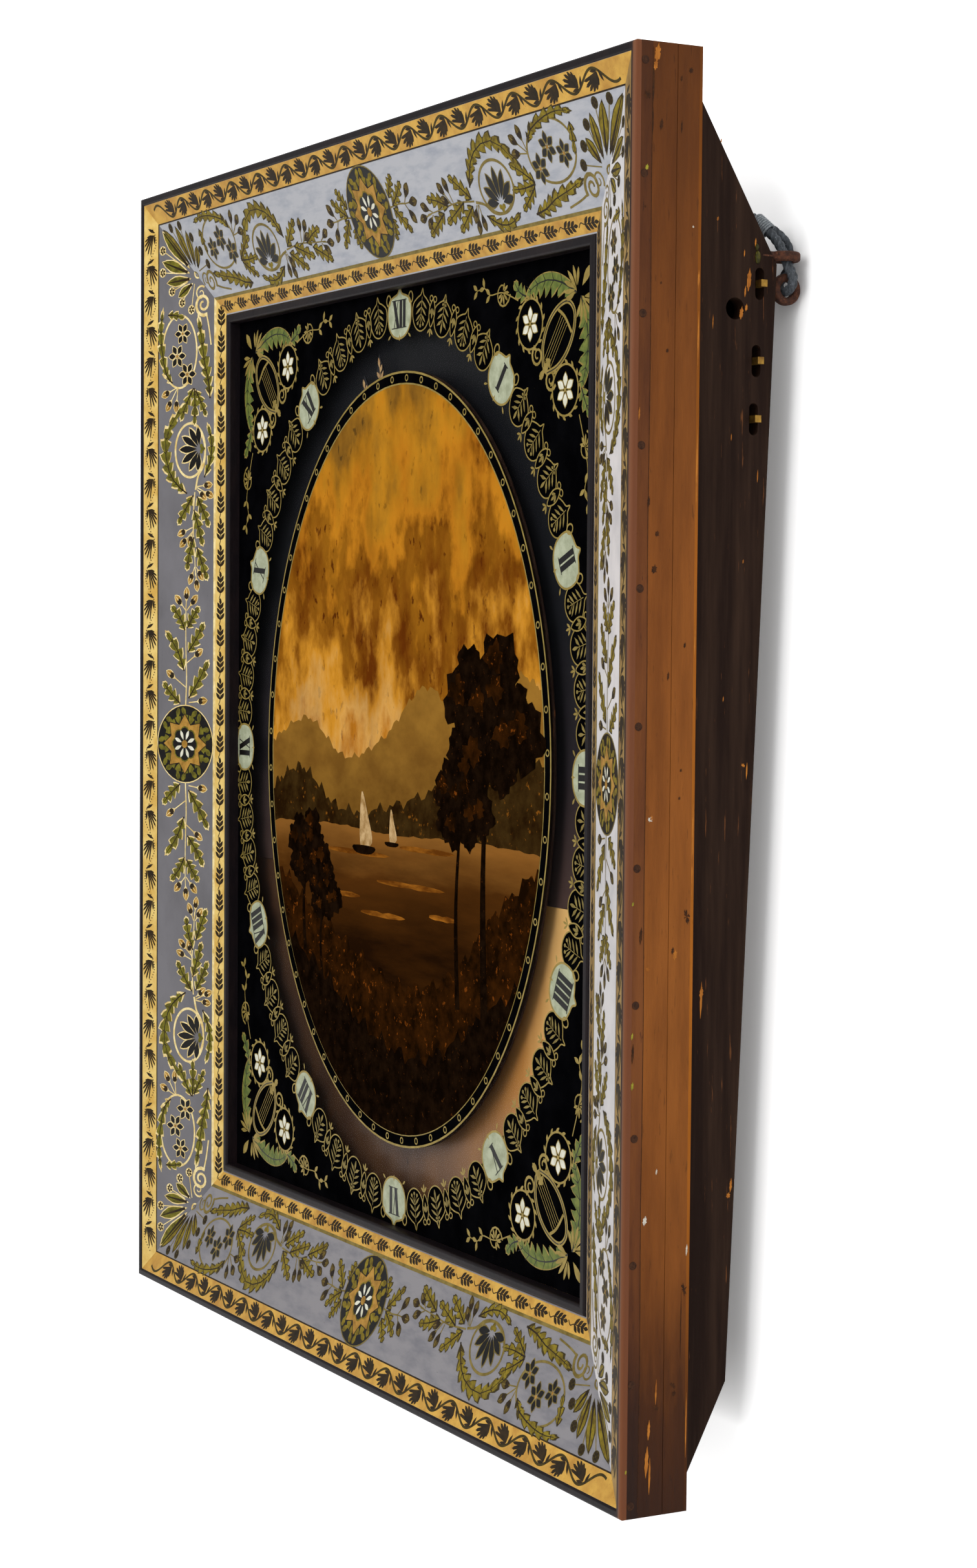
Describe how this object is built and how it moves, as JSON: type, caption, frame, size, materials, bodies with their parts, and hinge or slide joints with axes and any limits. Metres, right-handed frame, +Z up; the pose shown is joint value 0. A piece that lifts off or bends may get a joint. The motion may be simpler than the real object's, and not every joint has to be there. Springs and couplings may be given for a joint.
{
  "type": "chiming wall clock",
  "caption": "Picture-frame wall clock: canted painted glass border on a hinged front, oval picture dial, hands behind the glass, shallow back box with side levers and hanging cord.",
  "frame": {"origin": "middle of the back board's wall face", "axes": "+Z up, +Y back into the wall, +X to the right as seen from the front"},
  "size_m": [0.8854, 0.146, 1],
  "materials": {
    "oak_frame": "stained softwood, worn",
    "painted_glass": "reverse painted and silvered glass",
    "black_bead": "ebonised wood",
    "dial_glass": "black reverse painted glass with a clear oval band",
    "picture": "painted tin plate",
    "dark_wood": "dark stained wood, scuffed",
    "copper_sheet": "dull copper sheet",
    "hinge_brass": "aged brass",
    "screw_steel": "plain steel",
    "wrought_iron": "rusted wrought iron",
    "cord": "waxed twisted cord",
    "lever_brass": "aged brass",
    "clock_brass": "turned and filed brass",
    "clock_steel": "polished steel",
    "gilt_hand": "gilt brass",
    "bell_metal": "bell metal"
  },
  "bodies": {
    "case": {"case_rail_top": "oak_frame", "case_rail_bottom": "oak_frame", "case_stile_left": "oak_frame", "case_stile_right": "oak_frame", "box_side_left": "dark_wood", "box_side_right": "dark_wood", "box_top": "dark_wood", "box_bottom": "dark_wood", "back_board": "dark_wood", "inner_rails": "dark_wood", "backing_sheet_upper": "copper_sheet", "backing_sheet_lower": "copper_sheet", "hinge_leaves_case": "hinge_brass", "back_screws": "screw_steel", "lever_pivots": "screw_steel", "hanger_eyes_left": "wrought_iron", "hanger_eyes_right": "wrought_iron", "hanging_cord": "cord", "movement_front_plate": "clock_brass", "movement_rear_plate": "clock_brass", "movement_pillars": "clock_brass", "bells": "bell_metal"},
    "front": {"door_rail_top": "oak_frame", "door_rail_bottom": "oak_frame", "door_stile_left": "oak_frame", "door_stile_right": "oak_frame", "glass_panel_top": "painted_glass", "glass_panel_bottom": "painted_glass", "glass_panel_left": "painted_glass", "glass_panel_right": "painted_glass", "outer_bead": "black_bead", "sight_bead": "black_bead", "dial_glass": "dial_glass", "glazing_fillet": "black_bead", "picture_panel": "picture", "hinge_leaves_door": "hinge_brass"},
    "centre": {"centre_arbor": "clock_brass"},
    "minute_hand": {"minute_hand": "gilt_hand"},
    "hour": {"hour_wheel": "clock_brass", "hour_hand": "gilt_hand"},
    "minute_wheel": {"minute_wheel": "clock_brass"},
    "third": {"third_wheel": "clock_brass"},
    "escape": {"escape_wheel": "clock_brass"},
    "anchor": {"anchor": "clock_steel"},
    "pendulum": {"pendulum_rod": "clock_steel", "pendulum_bob": "clock_brass"},
    "going_barrel": {"going_barrel": "clock_brass"},
    "strike_barrel": {"strike_barrel": "clock_brass"},
    "going_winding": {"going_winding_arbor": "clock_steel"},
    "strike_winding": {"strike_winding_arbor": "clock_steel"},
    "going_click": {"going_click": "clock_steel"},
    "strike_click": {"strike_click": "clock_steel"},
    "strike_wheel": {"strike_wheel": "clock_brass"},
    "warning": {"warning_wheel": "clock_brass"},
    "fly": {"fly": "clock_brass"},
    "large_hammer": {"large_hammer": "clock_steel"},
    "small_hammer": {"small_hammer": "clock_steel"},
    "strike_lever": {"strike_lever": "lever_brass"},
    "chime_lever": {"chime_lever": "lever_brass"},
    "repeat_lever": {"repeat_lever": "lever_brass"}
  },
  "joints": [
    {"name": "front_hinge", "type": "hinge", "parent": "case", "child": "front", "pos_m": [-0.4429, -0.07565, 0], "axis": [0, 0, -1], "range_deg": [0, 105]},
    {"name": "minute_hand_turn", "type": "hinge", "parent": "case", "child": "minute_hand", "pos_m": [0, 0, 0], "axis": [0, 1, 0], "continuous": true},
    {"name": "centre_arbor_turn", "type": "hinge", "parent": "case", "child": "centre", "pos_m": [0, 0, 0], "axis": [0, 1, 0], "continuous": true},
    {"name": "hour_hand_turn", "type": "hinge", "parent": "case", "child": "hour", "pos_m": [0, 0, 0], "axis": [0, 1, 0], "continuous": true},
    {"name": "minute_wheel_turn", "type": "hinge", "parent": "case", "child": "minute_wheel", "pos_m": [-0.01584, 0, 0.01584], "axis": [0, 1, 0], "continuous": true},
    {"name": "third_wheel_turn", "type": "hinge", "parent": "case", "child": "third", "pos_m": [0, 0, 0.026], "axis": [0, 1, 0], "continuous": true},
    {"name": "escape_wheel_turn", "type": "hinge", "parent": "case", "child": "escape", "pos_m": [0, 0, 0.0476], "axis": [0, 1, 0], "continuous": true},
    {"name": "going_barrel_turn", "type": "hinge", "parent": "case", "child": "going_barrel", "pos_m": [-0.03045, 0, -0.0142], "axis": [0, 1, 0], "continuous": true},
    {"name": "pendulum_swing", "type": "hinge", "parent": "case", "child": "pendulum", "pos_m": [0, 0, 0.0766], "axis": [0, 1, 0], "range_deg": [-2.4, 2.4]},
    {"name": "anchor_rock", "type": "hinge", "parent": "case", "child": "anchor", "pos_m": [0, 0, 0.0666], "axis": [0, 1, 0], "range_deg": [-3.1, 3.1]},
    {"name": "strike_wheel_turn", "type": "hinge", "parent": "case", "child": "strike_wheel", "pos_m": [0.0498, 0, 0.0091], "axis": [0, 1, 0], "continuous": true},
    {"name": "strike_barrel_turn", "type": "hinge", "parent": "case", "child": "strike_barrel", "pos_m": [0.033, 0, -0.02], "axis": [0, 1, 0], "continuous": true},
    {"name": "warning_wheel_turn", "type": "hinge", "parent": "case", "child": "warning", "pos_m": [0.04633, 0, 0.02879], "axis": [0, 1, 0], "continuous": true},
    {"name": "fly_turn", "type": "hinge", "parent": "case", "child": "fly", "pos_m": [0.04633, 0, 0.04499], "axis": [0, 1, 0], "continuous": true},
    {"name": "going_winding_turn", "type": "hinge", "parent": "case", "child": "going_winding", "pos_m": [-0.03045, 0, -0.0142], "axis": [0, 1, 0], "continuous": true},
    {"name": "strike_winding_turn", "type": "hinge", "parent": "case", "child": "strike_winding", "pos_m": [0.033, 0, -0.02], "axis": [0, 1, 0], "continuous": true},
    {"name": "going_click_lift", "type": "hinge", "parent": "case", "child": "going_click", "pos_m": [-0.04643, 0, -0.02001], "axis": [0, 1, 0], "range_deg": [0, 15]},
    {"name": "strike_click_lift", "type": "hinge", "parent": "case", "child": "strike_click", "pos_m": [0.04897, 0, -0.02581], "axis": [0, -1, 0], "range_deg": [0, 15]},
    {"name": "large_hammer_lift", "type": "hinge", "parent": "case", "child": "large_hammer", "pos_m": [0.066, 0, -0.01], "axis": [0, 1, 0], "range_deg": [0, 15]},
    {"name": "small_hammer_lift", "type": "hinge", "parent": "case", "child": "small_hammer", "pos_m": [0.07, 0, 0.034], "axis": [0, -1, 0], "range_deg": [0, 15]},
    {"name": "strike_lever_move", "type": "hinge", "parent": "case", "child": "strike_lever", "pos_m": [0.4135, -0.03341, 0.346], "axis": [1, 0, 0], "range_deg": [-10, 10]},
    {"name": "chime_lever_move", "type": "hinge", "parent": "case", "child": "chime_lever", "pos_m": [0.4135, -0.03555, 0.293], "axis": [1, 0, 0], "range_deg": [-10, 10]},
    {"name": "repeat_lever_move", "type": "hinge", "parent": "case", "child": "repeat_lever", "pos_m": [0.4135, -0.03717, 0.253], "axis": [1, 0, 0], "range_deg": [-10, 10]}
  ],
  "couplings": [
    {"joint": "hour_hand_turn", "follows": "minute_hand_turn", "ratio": 0.083333},
    {"joint": "minute_wheel_turn", "follows": "minute_hand_turn", "ratio": -0.33333},
    {"joint": "third_wheel_turn", "follows": "escape_wheel_turn", "ratio": -0.090909},
    {"joint": "centre_arbor_turn", "follows": "escape_wheel_turn", "ratio": 0.0075758},
    {"joint": "going_barrel_turn", "follows": "escape_wheel_turn", "ratio": -0.0012626},
    {"joint": "anchor_rock", "follows": "pendulum_swing", "ratio": 1.25},
    {"joint": "fly_turn", "follows": "warning_wheel_turn", "ratio": -8},
    {"joint": "strike_wheel_turn", "follows": "warning_wheel_turn", "ratio": -0.11111},
    {"joint": "strike_barrel_turn", "follows": "warning_wheel_turn", "ratio": 0.018519}
  ]
}
